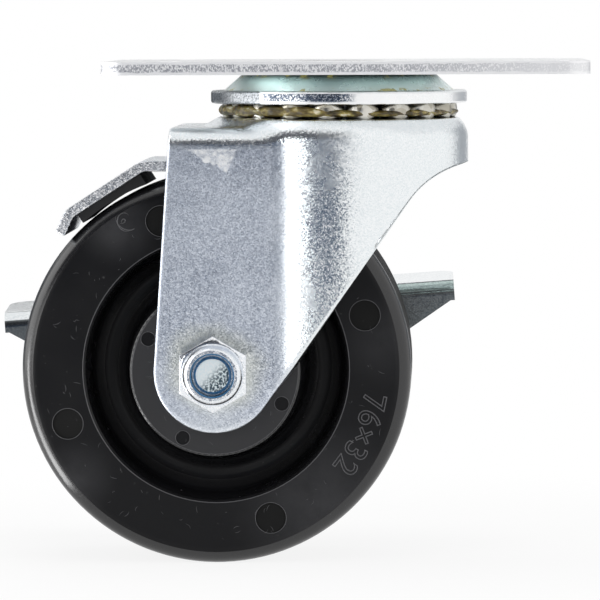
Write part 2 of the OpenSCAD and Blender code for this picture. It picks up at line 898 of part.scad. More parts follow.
top_plate();
upper_race();
kingpin();
lower_race();
upper_balls();
lower_balls();
fork();
wheel();
axle_sleeve();
axle_bolt();
axle_washer();
lock_nut();
lock_nut_insert();
brake_pedal();
cam_stud();
pedal_bush();
brake_leaf();
brake_pad();
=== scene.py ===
import json
import bmesh
import bpy
import numpy as np
from mathutils import Matrix, Quaternion, Vector


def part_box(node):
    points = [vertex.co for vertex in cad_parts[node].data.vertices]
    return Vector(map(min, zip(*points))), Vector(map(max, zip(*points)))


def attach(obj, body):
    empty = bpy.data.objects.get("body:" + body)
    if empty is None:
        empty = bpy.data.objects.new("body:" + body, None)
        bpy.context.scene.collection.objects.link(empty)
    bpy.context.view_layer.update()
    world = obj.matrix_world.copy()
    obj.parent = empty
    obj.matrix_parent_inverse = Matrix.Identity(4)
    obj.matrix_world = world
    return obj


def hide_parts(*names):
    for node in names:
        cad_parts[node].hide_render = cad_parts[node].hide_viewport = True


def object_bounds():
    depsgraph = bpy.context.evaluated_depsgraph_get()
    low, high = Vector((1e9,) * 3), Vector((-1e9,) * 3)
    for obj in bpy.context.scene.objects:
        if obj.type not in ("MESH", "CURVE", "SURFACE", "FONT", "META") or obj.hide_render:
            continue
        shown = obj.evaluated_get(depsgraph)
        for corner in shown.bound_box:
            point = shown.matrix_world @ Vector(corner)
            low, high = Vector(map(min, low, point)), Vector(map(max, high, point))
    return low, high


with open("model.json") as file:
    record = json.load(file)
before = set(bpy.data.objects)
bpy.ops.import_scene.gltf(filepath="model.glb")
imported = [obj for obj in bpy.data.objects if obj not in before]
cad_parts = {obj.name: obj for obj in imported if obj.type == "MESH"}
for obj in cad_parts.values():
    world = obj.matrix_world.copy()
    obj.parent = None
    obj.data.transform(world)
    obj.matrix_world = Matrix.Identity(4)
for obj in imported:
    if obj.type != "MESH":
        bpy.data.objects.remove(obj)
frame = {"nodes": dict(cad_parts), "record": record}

cad_box = [list(corner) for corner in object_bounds()]
scene = bpy.context.scene
scene.view_settings.view_transform = "Standard"

# Studio
# A pale floor and a white background with soft lamps, as for a product picture.
# Dark and grey cards round the castor show only in reflections and give the plated steel its bands.

mm = 0.001
camera_place = Vector((20.22, -872.33, 7.51)) * mm
camera_aim = Vector((-7.8, 0.0, -47.1)) * mm
camera_roll = 0.0037
camera_data = bpy.data.cameras.new("camera")
camera_data.lens = 266.6
camera_data.sensor_width = 36.0
camera_data.clip_end = 20.0
camera = bpy.data.objects.new("camera", camera_data)
camera.location = camera_place
camera_turn = (camera_aim - camera_place).to_track_quat("-Z", "Y")
camera.rotation_euler = (camera_turn @ Quaternion((0, 0, 1), -camera_roll)).to_euler()
scene.collection.objects.link(camera)
scene.camera = camera


def seen_rays(nodes, links):
    """Output that is 1 for camera, glossy and transmission rays and 0 for the rays that light surfaces."""
    rays = nodes.new("ShaderNodeLightPath")
    first = nodes.new("ShaderNodeMath")
    first.operation = "MAXIMUM"
    both = nodes.new("ShaderNodeMath")
    both.operation = "MAXIMUM"
    links.new(rays.outputs["Is Camera Ray"], first.inputs[0])
    links.new(rays.outputs["Is Glossy Ray"], first.inputs[1])
    links.new(first.outputs[0], both.inputs[0])
    links.new(rays.outputs["Is Transmission Ray"], both.inputs[1])
    return both.outputs[0]


world_light = 0.5
world = bpy.data.worlds.new("white studio")
world.use_nodes = True
scene.world = world
background = world.node_tree.nodes["Background"]
background.inputs["Color"].default_value = (1.0, 1.0, 1.0, 1.0)
brightness = world.node_tree.nodes.new("ShaderNodeMapRange")
brightness.inputs["To Min"].default_value = world_light
brightness.inputs["To Max"].default_value = 1.0
seen = seen_rays(world.node_tree.nodes, world.node_tree.links)
world.node_tree.links.new(seen, brightness.inputs["Value"])
world.node_tree.links.new(brightness.outputs["Result"], background.inputs["Strength"])


def soft_lamp(name, place, size, power):
    """Square area lamp of a given side, turned to face the castor. Metal doesn't show it."""
    data = bpy.data.lights.new(name, "AREA")
    data.energy = power
    data.size = size
    lamp = bpy.data.objects.new(name, data)
    lamp.location = place
    lamp.visible_glossy = False
    lamp.rotation_euler = (Vector((0, 0, -0.05)) - Vector(place)).to_track_quat("-Z", "Y").to_euler()
    scene.collection.objects.link(lamp)


lamp_power = 3.0
soft_lamp("lamp left", (-0.75, -0.75, 0.35), 0.5, lamp_power)
soft_lamp("lamp right", (0.8, -0.5, 0.25), 0.5, lamp_power)
soft_lamp("lamp above", (0, 0.1, 0.9), 0.6, lamp_power)


def quads(rows, columns, closed=False):
    """Faces of a grid of points: each joins a point, its neighbour and the two below. A closed grid
    also joins its last column to its first."""
    row, column = np.meshgrid(np.arange(rows - 1), np.arange(columns - (not closed)), indexing="ij")
    beside = (column + 1) % columns
    corners = [row * columns + column, row * columns + beside, (row + 1) * columns + beside]
    corners.append((row + 1) * columns + column)
    return np.stack(corners, axis=-1).reshape(-1, 4)


def mesh_piece(name, points, faces):
    """Object at the origin from an array of points in metres and an array of faces."""
    mesh = bpy.data.meshes.new(name)
    mesh.from_pydata(np.asarray(points, float).reshape(-1, 3).tolist(), [], np.asarray(faces).tolist())
    mesh.update()
    piece = bpy.data.objects.new(name, mesh)
    scene.collection.objects.link(piece)
    return piece


def matt_card(name, tone):
    """Plain matt material of one tone."""
    material = bpy.data.materials.new(name)
    material.use_nodes = True
    shader = material.node_tree.nodes["Principled BSDF"]
    shader.inputs["Base Color"].default_value = (*tone, 1.0)
    shader.inputs["Roughness"].default_value = 1.0
    shader.inputs["Specular IOR Level"].default_value = 0.0
    return material


def floor_white(near, far, near_share):
    """Pale matt floor that keeps the shadow at the wheel and fades into the white background: what is seen
    of it, also in reflections, changes from partly white near the castor to all white further away."""
    material = matt_card("pale floor", (0.93, 0.93, 0.93))
    nodes, links = material.node_tree.nodes, material.node_tree.links
    place = nodes.new("ShaderNodeTexCoord")
    away = nodes.new("ShaderNodeVectorMath")
    away.operation = "LENGTH"
    fade = nodes.new("ShaderNodeMapRange")
    fade.interpolation_type = "SMOOTHSTEP"
    fade.inputs["From Min"].default_value = near
    fade.inputs["From Max"].default_value = far
    fade.inputs["To Min"].default_value = near_share
    fade.inputs["To Max"].default_value = 1.0
    gate = nodes.new("ShaderNodeMath")
    gate.operation = "MULTIPLY"
    links.new(place.outputs["Object"], away.inputs[0])
    links.new(away.outputs["Value"], fade.inputs["Value"])
    links.new(fade.outputs["Result"], gate.inputs[0])
    links.new(seen_rays(nodes, links), gate.inputs[1])
    white = nodes.new("ShaderNodeEmission")
    mixed = nodes.new("ShaderNodeMixShader")
    links.new(gate.outputs[0], mixed.inputs["Fac"])
    links.new(nodes["Principled BSDF"].outputs["BSDF"], mixed.inputs[1])
    links.new(white.outputs["Emission"], mixed.inputs[2])
    links.new(mixed.outputs["Shader"], nodes["Material Output"].inputs["Surface"])
    return material


floor_z = cad_box[0][2]
floor_half = 6.0
floor_corners = [(-floor_half, -floor_half), (floor_half, -floor_half),
                 (floor_half, floor_half), (-floor_half, floor_half)]
floor = mesh_piece("floor", [(x, y, floor_z) for x, y in floor_corners], [[0, 1, 2, 3]])
fade_start, fade_end, white_share = 0.11, 0.20, 0.87
floor.data.materials.append(floor_white(fade_start, fade_end, white_share))


def only_reflected(card, material):
    """Makes a card of the studio show in reflections and nowhere else."""
    card.data.materials.append(material)
    card.visible_camera = False
    card.visible_diffuse = False
    card.visible_shadow = False


def reflected_card(name, azimuths, elevations, material):
    """Card seen only in reflections: a patch of a sphere round the castor. Azimuth 0 is towards the
    camera and positive azimuths are to the right."""
    azimuth = np.radians(np.linspace(*azimuths, card_columns))
    elevation = np.radians(np.linspace(*elevations, card_rows))
    azimuth, elevation = np.meshgrid(azimuth, elevation)
    level = np.cos(elevation)
    points = np.stack([level * np.sin(azimuth), -level * np.cos(azimuth), np.sin(elevation)], axis=-1)
    only_reflected(mesh_piece(name, card_distance * points, quads(card_rows, card_columns)), material)


def bright_card(name, strength):
    """White card that glows at a strength, for a highlight."""
    material = matt_card(name, (0.0, 0.0, 0.0))
    shader = material.node_tree.nodes["Principled BSDF"]
    shader.inputs["Emission Color"].default_value = (1.0, 1.0, 1.0, 1.0)
    shader.inputs["Emission Strength"].default_value = strength
    return material


card_distance = 0.45
card_rows, card_columns = 9, 15
card_black = matt_card("card black", (0.07, 0.075, 0.09))
card_blue = matt_card("card blue", (0.05, 0.09, 0.165))
card_grey = matt_card("card grey", (0.28, 0.30, 0.33))
reflected_card("card_front", (-29.5, 5), (-12, 4), card_blue)
reflected_card("card_high", (-60, 5), (4, 36), card_black)
reflected_card("card_back", (150, 200), (24, 40), card_black)
reflected_card("card_left", (-156, -116), (-12, 14), card_grey)
reflected_card("card_left_low", (-178, -156), (-12, 4), card_black)
reflected_card("card_right", (125, 160), (-12, 40), matt_card("card pale", (0.42, 0.44, 0.47)))
reflected_card("card_glint", (-54, -29.5), (-12, 12), bright_card("card glint", 2.6))
reflected_card("card_strip", (-108, -62), (-12, 30), bright_card("card strip", 2.4))

# Low bright strip to the left: it runs out along the floor and turns up, and lights the wheel's shoulder
sill_near, sill_far, sill_top, sill_lift = -0.07, -0.35, -0.055, 0.5 * mm
sill_profile = [(sill_near, floor_z + sill_lift), (sill_far, floor_z + sill_lift), (sill_far, sill_top)]
sill_sides = [(-0.034, -0.014), (-0.125, -0.045), (-0.125, -0.045)]
sill_points = [(x, y, z) for (x, z), ends in zip(sill_profile, sill_sides) for y in ends]
only_reflected(mesh_piece("card_sill", sill_points, quads(3, 2)), bright_card("card sill", 9.0))

# Top plate
# Flat rectangle of mild steel, sheared and punched, then zinc plated bright blue-white.
# The kingpin is riveted into it. Its sheared sides are burnished at both edges and torn between them; their
# bands are partly painted highlight and painted reflection.


def softened(name, node, body, edge, materials):
    """Copy of a CAD node with its loose triangles welded, flat facets joined and sharp edges rounded."""
    work = bmesh.new()
    work.from_mesh(frame["nodes"][node].data)
    bmesh.ops.remove_doubles(work, verts=work.verts, dist=1e-6)
    bmesh.ops.dissolve_limit(work, angle_limit=0.004, verts=work.verts, edges=work.edges)
    mesh = bpy.data.meshes.new(name)
    work.to_mesh(mesh)
    work.free()
    for material in materials:
        mesh.materials.append(material)
    mesh.polygons.foreach_set("use_smooth", np.ones(len(mesh.polygons), bool))
    piece = bpy.data.objects.new(name, mesh)
    scene.collection.objects.link(piece)
    rounding = piece.modifiers.new("rounded edges", "BEVEL")
    rounding.width = edge
    rounding.segments = 3
    rounding.limit_method = "ANGLE"
    rounding.angle_limit = np.radians(32)
    flats = piece.modifiers.new("flat faces stay flat", "WEIGHTED_NORMAL")
    flats.weight = 80
    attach(piece, body)
    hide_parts(node)
    return piece


def faces_where(piece, wanted, index):
    """Gives a material index to the faces whose normal and centre pass a test, on whole arrays."""
    count = len(piece.data.polygons)
    normal, centre = np.empty(count * 3), np.empty(count * 3)
    piece.data.polygons.foreach_get("normal", normal)
    piece.data.polygons.foreach_get("center", centre)
    current = np.empty(count, int)
    piece.data.polygons.foreach_get("material_index", current)
    current[wanted(normal.reshape(-1, 3), centre.reshape(-1, 3))] = index
    piece.data.polygons.foreach_set("material_index", current)


def shaded(name, metallic):
    """New material with its nodes, links, shader and the piece's own coordinates."""
    material = bpy.data.materials.new(name)
    material.use_nodes = True
    nodes, links = material.node_tree.nodes, material.node_tree.links
    shader = nodes["Principled BSDF"]
    shader.inputs["Metallic"].default_value = metallic
    place = nodes.new("ShaderNodeTexCoord").outputs["Object"]
    return material, nodes, links, shader, place


def noise(nodes, links, place, scale, detail, stretch=(1.0, 1.0, 1.0)):
    """Noise from 0 to 1 with a number of cells per metre, which may be stretched along the axes."""
    spread = nodes.new("ShaderNodeMapping")
    spread.inputs["Scale"].default_value = stretch
    cells = nodes.new("ShaderNodeTexNoise")
    cells.inputs["Scale"].default_value = scale
    cells.inputs["Detail"].default_value = detail
    cells.inputs["Roughness"].default_value = 0.6
    links.new(place, spread.inputs["Vector"])
    links.new(spread.outputs["Vector"], cells.inputs["Vector"])
    return cells.outputs["Fac"]


def ranged(nodes, links, value, low, high, to_low, to_high):
    """A value between low and high carried over to another range, smoothly and without overshoot."""
    span = nodes.new("ShaderNodeMapRange")
    span.interpolation_type = "SMOOTHSTEP"
    span.inputs["From Min"].default_value = low
    span.inputs["From Max"].default_value = high
    span.inputs["To Min"].default_value = to_low
    span.inputs["To Max"].default_value = to_high
    links.new(value, span.inputs["Value"])
    return span.outputs["Result"]


def toned(nodes, links, value, stops):
    """Colour ramp over a value, from a list of places and colours."""
    ramp = nodes.new("ShaderNodeValToRGB")
    while len(ramp.color_ramp.elements) < len(stops):
        ramp.color_ramp.elements.new(1.0)
    for element, (position, colour) in zip(ramp.color_ramp.elements, stops):
        element.position = position
        element.color = (*colour, 1.0)
    links.new(value, ramp.inputs["Fac"])
    return ramp.outputs["Color"]


def combined(nodes, links, operation, first, second):
    """Two values, or a value and a number, joined by a math operation."""
    maths = nodes.new("ShaderNodeMath")
    maths.operation = operation
    for socket, term in zip(maths.inputs, (first, second)):
        if isinstance(term, (int, float)):
            socket.default_value = term
        else:
            links.new(term, socket)
    return maths.outputs[0]


def blended(nodes, links, share, first, second):
    """Colour that changes from the first to the second as the share goes from 0 to 1."""
    mix = nodes.new("ShaderNodeMix")
    mix.data_type = "RGBA"
    links.new(share, mix.inputs["Factor"])
    links.new(first, mix.inputs["A"])
    links.new(second, mix.inputs["B"])
    return mix.outputs["Result"]


def relief(nodes, links, shader, height, depth):
    """Bump of a depth in metres from a height between 0 and 1."""
    bump = nodes.new("ShaderNodeBump")
    bump.inputs["Strength"].default_value = 1.0
    bump.inputs["Distance"].default_value = depth
    links.new(height, bump.inputs["Height"])
    links.new(bump.outputs["Normal"], shader.inputs["Normal"])


def faceted(nodes, links, shader, place, grain, tilt):
    """Crystals of plating as cells of a Voronoi pattern: each cell has its own tone from 0 to 1, which is
    returned, and its own lean of the surface. grain is the number of cells per metre."""
    cells = nodes.new("ShaderNodeTexVoronoi")
    cells.inputs["Scale"].default_value = grain
    links.new(place, cells.inputs["Vector"])
    lean = nodes.new("ShaderNodeVectorMath")
    lean.operation = "MULTIPLY_ADD"
    lean.inputs[1].default_value = (tilt, tilt, tilt)
    lean.inputs[2].default_value = (-tilt / 2, -tilt / 2, -tilt / 2)
    links.new(cells.outputs["Color"], lean.inputs[0])
    upright = nodes.new("ShaderNodeNewGeometry").outputs["Normal"]
    turned = nodes.new("ShaderNodeVectorMath")
    turned.operation = "ADD"
    links.new(upright, turned.inputs[0])
    links.new(lean.outputs[0], turned.inputs[1])
    unit = nodes.new("ShaderNodeVectorMath")
    unit.operation = "NORMALIZE"
    links.new(turned.outputs[0], unit.inputs[0])
    links.new(unit.outputs[0], shader.inputs["Normal"])
    tone = nodes.new("ShaderNodeSeparateColor")
    links.new(cells.outputs["Color"], tone.inputs[0])
    return tone.outputs[0]


def plated_steel(name, pale, deep, grain, roughness, tilt):
    """Zinc-plated steel: fine crystals in two tones that lean a little each their own way, and clouds of
    roughness. grain is the number of crystals per metre."""
    material, nodes, links, shader, place = shaded(name, 1.0)
    crystal = faceted(nodes, links, shader, place, grain, tilt)
    cloud = noise(nodes, links, place, 90.0, 4.0)
    links.new(toned(nodes, links, crystal, [(0.1, deep), (0.9, pale)]), shader.inputs["Base Color"])
    links.new(ranged(nodes, links, cloud, 0.3, 0.7, *roughness), shader.inputs["Roughness"])
    return material


def separated(nodes, links, place):
    """Node that gives the coordinates of a place one by one, as X, Y and Z."""
    parts = nodes.new("ShaderNodeSeparateXYZ")
    links.new(place, parts.inputs[0])
    return parts


def sheared_side(low, high):
    """Sheared edge of the plate: bright burnished bands along the top and the bottom, which waver a
    little and are partly painted highlight of the rounded edges, and between them a dark torn band with
    upright streaks, partly painted dark reflection, which fades towards the right."""
    material, nodes, links, shader, place = shaded("zinc plated sheared edge", 1.0)
    parts = separated(nodes, links, place)
    waver = noise(nodes, links, place, 350.0, 3.0)
    streak = noise(nodes, links, place, 4200.0, 2.0, (1.0, 1.0, 0.6))
    height = ranged(nodes, links, parts.outputs["Z"], low, high, 0.0, 1.0)
    shift = combined(nodes, links, "MULTIPLY", combined(nodes, links, "SUBTRACT", waver, 0.5), 0.22)
    band = combined(nodes, links, "ADD", height, shift)
    # Bright stops: burnished metal and partly painted highlight; dark stops: torn metal and partly painted
    # dark reflection.
    burnished, rough = (1, 1, 1), (0, 0, 0)
    stops = [(0.09, burnished), (0.17, rough), (0.84, rough), (0.94, burnished)]
    torn = toned(nodes, links, band, stops)
    grain = ranged(nodes, links, streak, 0.38, 0.62, 0.0, 1.0)
    fading = ranged(nodes, links, parts.outputs["X"], -5 * mm, 44 * mm, 0.0, 0.8)
    bright = combined(nodes, links, "MAXIMUM", combined(nodes, links, "MAXIMUM", torn, grain), fading)
    links.new(toned(nodes, links, bright, [(0.0, (0.40, 0.41, 0.45)), (1.0, (0.98, 0.98, 0.99))]),
              shader.inputs["Base Color"])
    shader.inputs["Roughness"].default_value = 0.55
    relief(nodes, links, shader, streak, 0.015 * mm)
    return material


zinc_pale = (0.92, 0.94, 0.95)
zinc_deep = (0.66, 0.71, 0.77)
plated_face = plated_steel("zinc plated face", zinc_pale, zinc_deep, 5200.0, (0.24, 0.34), 0.10)
plate_low, plate_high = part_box("top_plate")
plate_side = sheared_side(plate_low[2], plate_high[2])
# Paler copy of the plating for the faces that look up or down: painted light.
plate_top_painted_light = plated_steel("zinc plated top, painted light", (0.98, 0.98, 0.98), (0.90, 0.92, 0.94),
                         5200.0, (0.26, 0.34), 0.03)
plate_finishes = [plated_face, plate_side, plate_top_painted_light]
plate = softened("top_plate_finished", "top_plate", "plate", 0.35 * mm, plate_finishes)
faces_where(plate, lambda normal, centre: abs(normal[:, 2]) < 0.5, 1)
# Faces that look up or down take the paler copy: painted light.
faces_where(plate, lambda normal, centre: abs(normal[:, 2]) > 0.9, 2)

# Upper race
# Hat-shaped steel pressing with a turned rim, zinc plated, clamped to the plate by the kingpin.
# The upper balls run under its rim, and some of their grease has crept up its flank.

race_low, race_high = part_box("upper_race")
race_rim_t = 2.5 * mm


def race_finish():
    """Plating of the upper race: teal on the flank, partly a painted reflection of the plate's underside,
    darker towards the plate as painted shade, and with specks of grease along its top and its foot. The rim
    is white, with painted reflection where it is grey and grainy at its left and where a dark patch lies in
    front."""
    material, nodes, links, shader, place = shaded("zinc plated race", 1.0)
    parts = separated(nodes, links, place)
    height = parts.outputs["Z"]
    crystal = noise(nodes, links, place, 3000.0, 2.0)
    cloud = noise(nodes, links, place, 260.0, 3.0)
    rim_top = race_low[2] + race_rim_t
    # Flank tones: the teal is partly a painted reflection of the plate's underside, and the dark end under
    # the plate is painted shade.
    flank_tones_with_painted_shade = [(0.0, (0.83, 0.92, 0.90)), (0.5, (0.68, 0.81, 0.79)),
                   (0.85, (0.43, 0.53, 0.52)), (1.0, (0.13, 0.16, 0.15))]
    up_flank = ranged(nodes, links, height, rim_top, race_high[2], 0.0, 1.0)
    flank = toned(nodes, links, up_flank, flank_tones_with_painted_shade)
    waver = combined(nodes, links, "MULTIPLY", cloud, 2.4 * mm)
    along = combined(nodes, links, "ADD", parts.outputs["X"], waver)
    # Grey at the rim's left end: painted reflection.
    left_end = ranged(nodes, links, along, -13.6 * mm, -13.2 * mm, 1.0, 0.0)
    band = ranged(nodes, links, height, race_low[2] + 0.5 * mm, race_low[2] + 0.8 * mm, 0.0, 1.0)
    band = combined(nodes, links, "MULTIPLY", band,
                    ranged(nodes, links, height, rim_top - 0.5 * mm, rim_top - 0.3 * mm, 1.0, 0.0))
    front = ranged(nodes, links, parts.outputs["Y"], -20.5 * mm, -20.0 * mm, 1.0, 0.0)
    ends = combined(nodes, links, "MULTIPLY", ranged(nodes, links, along, -13.2 * mm, -12.4 * mm, 0.0, 1.0),
                    ranged(nodes, links, along, 3.4 * mm, 5.6 * mm, 1.0, 0.0))
    speckle = ranged(nodes, links, crystal, 0.50, 0.60, 1.0, 0.0)
    # Dark speckled patch on the rim's front: painted dark reflection.
    patch = combined(nodes, links, "MULTIPLY", combined(nodes, links, "MULTIPLY", band, front),
                     combined(nodes, links, "MULTIPLY", ends, speckle))
    # The grey and dark rim tones are painted reflection; the white is the plating.
    grey = toned(nodes, links, crystal, [(0.36, (0.14, 0.15, 0.16)), (0.64, (0.44, 0.46, 0.48))])
    white = toned(nodes, links, crystal, [(0.3, (0.93, 0.95, 0.96)), (0.7, (0.98, 0.98, 0.98))])
    dark = toned(nodes, links, crystal, [(0.3, (0.07, 0.09, 0.13)), (0.6, (0.22, 0.26, 0.33))])
    rim_face = blended(nodes, links, patch, blended(nodes, links, left_end, white, grey), dark)
    on_flank = ranged(nodes, links, height, rim_top - 0.1 * mm, rim_top + 0.2 * mm, 0.0, 1.0)
    steel = blended(nodes, links, on_flank, rim_face, flank)
    top_line = ranged(nodes, links, height, race_high[2] - 1.0 * mm, race_high[2] - 0.4 * mm, 0.0, 1.0)
    foot_line = combined(nodes, links, "MULTIPLY", on_flank,
                         ranged(nodes, links, height, rim_top + 0.2 * mm, rim_top + 0.8 * mm, 1.0, 0.0))
    lines = combined(nodes, links, "MAXIMUM", top_line, foot_line)
    smear = ranged(nodes, links, noise(nodes, links, place, 380.0, 4.0), 0.54, 0.60, 0.0, 1.0)
    greased = combined(nodes, links, "MULTIPLY", lines, smear)
    yellow = toned(nodes, links, crystal, [(0.3, (0.36, 0.30, 0.06)), (0.7, (0.66, 0.62, 0.22))])
    links.new(blended(nodes, links, greased, steel, yellow), shader.inputs["Base Color"])
    links.new(ranged(nodes, links, greased, 0.0, 1.0, 1.0, 0.0), shader.inputs["Metallic"])
    links.new(ranged(nodes, links, cloud, 0.3, 0.7, 0.24, 0.34), shader.inputs["Roughness"])
    relief(nodes, links, shader, crystal, 0.008 * mm)
    return material


race_edge = 0.4 * mm
softened("upper_race_finished", "upper_race", "plate", race_edge, [race_finish()])

# Kingpin and lower race
# The kingpin is a rivet of soft steel, and the lower race a turned ring that its peened end holds.
# Both are bare, only lightly oiled.

bare_steel = plated_steel("bare turned steel", (0.66, 0.66, 0.66), (0.46, 0.46, 0.47),
                          1500.0, (0.28, 0.42), 0.05)


def finish_node(node, material):
    """Gives a CAD node's object one material."""
    slots = frame["nodes"][node].data.materials
    slots.clear()
    slots.append(material)


for node in ("kingpin", "lower_race"):
    finish_node(node, bare_steel)

# Bearing balls and their grease
# Polished steel balls run between upper race and fork, and between fork and lower race.
# The upper ring is packed with yellow grease, which is pressed out between the balls.

ball_steel = plated_steel("polished ball steel", (0.70, 0.68, 0.62), (0.40, 0.37, 0.30),
                          500.0, (0.26, 0.40), 0.02)
for node in ("upper_balls", "lower_balls"):
    finish_node(node, ball_steel)


def grease_material():
    """Grease: olive and brown with paler yellow smears, wet and slightly see-through at its thin places."""
    material, nodes, links, shader, place = shaded("yellow grease", 0.0)
    smear = noise(nodes, links, place, 420.0, 4.0, (1.0, 1.0, 2.2))
    stops = [(0.36, (0.035, 0.026, 0.009)), (0.50, (0.13, 0.095, 0.022)),
             (0.60, (0.32, 0.26, 0.07)), (0.68, (0.70, 0.66, 0.50))]
    links.new(toned(nodes, links, smear, stops), shader.inputs["Base Color"])
    shader.inputs["Roughness"].default_value = 0.28
    shader.inputs["Subsurface Weight"].default_value = 0.15
    shader.inputs["Subsurface Scale"].default_value = 0.6 * mm
    relief(nodes, links, shader, smear, 0.15 * mm)
    return material


ball_low, ball_high = (np.array(corner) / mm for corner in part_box("upper_balls"))
ball_count = 19
ball_reach = ball_high[0]
ball_z = (ball_low[2] + ball_high[2]) / 2
race_gap = 2.4
grease_rows, grease_columns = 17, 720


def grease_ring():
    """Ring of grease round the balls: at each bearing a section that is an ellipse, standing on the fork's
    crown. It is low and even on one side, and fills the whole gap on the other, where it bulges between
    the balls by a cosine of the ball count. A sum of sines makes it waver."""
    bearing = np.linspace(0, 2 * np.pi, grease_columns, endpoint=False)[None, :]
    around = np.linspace(0, 2 * np.pi, grease_rows)[:, None]
    waver = 0.5 * np.sin(7 * bearing + 1.0) + 0.3 * np.sin(23 * bearing + 2.0) + 0.25 * np.sin(53 * bearing)
    filled = 1 / (1 + np.exp(9 * (np.cos(bearing) + 0.12 + 0.15 * waver)))
    low = ball_z - race_gap / 2 + 0.05
    high = low + 1.15 + 0.12 * waver + (race_gap - 1.45) * filled
    reach = ball_reach - 0.02 + 0.2 * waver + filled * (0.40 - 0.14 * np.cos(ball_count * bearing))
    radius = reach - 0.9 + 0.9 * np.cos(around) * (1 + 0.12 * np.sin(67 * bearing + 3 * around))
    height = (low + high) / 2 + (high - low) / 2 * np.sin(around) + 0 * radius
    points = np.stack([radius * np.cos(bearing), radius * np.sin(bearing), height], axis=-1)
    return points * mm, quads(grease_rows, grease_columns, closed=True)


grease = mesh_piece("bearing_grease", *grease_ring())
grease.data.materials.append(grease_material())
grease.data.polygons.foreach_set("use_smooth", np.ones(len(grease.data.polygons), bool))
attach(grease, "ball_rings")

# Fork
# One piece of sheet steel: a round crown with the ball track pressed into it, a roof and two legs.
# It is blanked, drawn and bent in one tool, pierced for kingpin and axle, and zinc plated.

fork_low, fork_high = (np.array(corner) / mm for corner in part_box("fork"))
joints = frame["record"]["behaviour"]["joints"]
joint_places = {joint["name"]: np.array(joint["pos_m"]) / mm for joint in joints}
axle = joint_places["wheel_spin"][[0, 2]]
sheet = 2.5
crown_r, crown_top = fork_high[1], fork_high[2]
leg_y = 23.0
roof_top = crown_top - 2.0
roof_edge_r, crown_edge_r = 3.5, 3.0
step_outer, step_width = 27.4, 5.1
hollow_r = 10.0
kingpin_hole_r, axle_hole_r = 6.6, 4.2
boss_r = axle[1] - fork_low[2]
track_r, groove_r = 20.0, 3.235
front_top = np.array([-32.1, roof_top])
skirt_angle, skirt_depth, rear_inset, sweep_r = np.radians(14.0), 9.3, 7.6, 17.0
notch_x, notch_top, notch_low = -28.2, -15.03, -20.03


def touch_point(point, centre, radius, side):
    """Point where a line from a point touches a circle: the bearing of the point as seen from the centre,
    turned to one side by the angle whose cosine is radius over distance."""
    away = point - centre
    bearing = np.arctan2(away[1], away[0]) + side * np.arccos(radius / np.hypot(*away))
    return centre + radius * np.array([np.cos(bearing), np.sin(bearing)])


front_touch = touch_point(front_top, axle, boss_r, 1)
rear_corner = np.array([crown_r - rear_inset, crown_top - skirt_depth - rear_inset * np.tan(skirt_angle)])
rear_touch = touch_point(rear_corner, axle, boss_r, -1)
rear_angle = np.arctan2(*(rear_corner - rear_touch)[::-1])
sweep_setback = sweep_r * np.tan((rear_angle - skirt_angle) / 2)
sweep_start = rear_corner - sweep_setback * np.array([np.cos(rear_angle), np.sin(rear_angle)])
sweep_centre = sweep_start + sweep_r * np.array([np.sin(rear_angle), -np.cos(rear_angle)])
sweep_turn = np.linspace(rear_angle, skirt_angle, 17)
sweep = sweep_centre + sweep_r * np.stack([-np.sin(sweep_turn), np.cos(sweep_turn)], axis=1)
skirt_end = [crown_r, crown_top - skirt_depth]
lower_edge = np.vstack([rear_touch, sweep, skirt_end])
hollow_centre = np.array([-np.sqrt((crown_r + hollow_r) ** 2 - (leg_y + hollow_r) ** 2), -leg_y - hollow_r])
hollow_turn = np.arctan2(-hollow_centre[0], -hollow_centre[1])

# Rows of the sheet, from the middle of the roof over its edge and down the wall
roof_rows = np.linspace(0, 1, 37)
notch_row = np.arccos(1 - (roof_top - notch_top) / roof_edge_r)
rows_to_notch = 8
edge_rows = np.linspace(0, notch_row, rows_to_notch + 1)[1:]
edge_rows = np.append(edge_rows, np.linspace(notch_row, np.pi / 2, 4)[1:])
leg_drop = roof_top - roof_edge_r - np.interp(hollow_centre[0], *lower_edge.T)
notch_share = (roof_top - roof_edge_r - notch_low) / leg_drop
wall_rows = np.append([notch_share / 2, notch_share], np.linspace(notch_share, 1, 25)[1:])
split_row = 16
ahead_columns, behind_columns, notch_rows = 5, 25, 5


def roof_height(x, y):
    """Height of the pressed top over a plan point: the roof, raised to the crown by a smooth step over the
    radius, and lowered by the round ball track."""
    radius = np.hypot(x, y)
    rise = np.clip((step_outer - radius) / step_width, 0, 1)
    top = roof_top + (crown_top - roof_top) * rise ** 2 * (3 - 2 * rise)
    inside = np.clip(groove_r ** 2 - (radius - track_r) ** 2, 0, None)
    return np.where(inside > 0, np.minimum(top, ball_z - np.sqrt(inside)), top)


def inward_steps(reach, edge):
    """Distances in from the wall for the rows of roof and edge, and how far the rounded edge has dropped
    there: the edge is a quarter circle."""
    roof = edge + (reach - edge) * (1 - roof_rows[:, None])
    turn = edge_rows[:, None]
    return np.vstack([roof, edge * (1 - np.sin(turn))]), np.vstack([0 * roof, edge * (1 - np.cos(turn))])


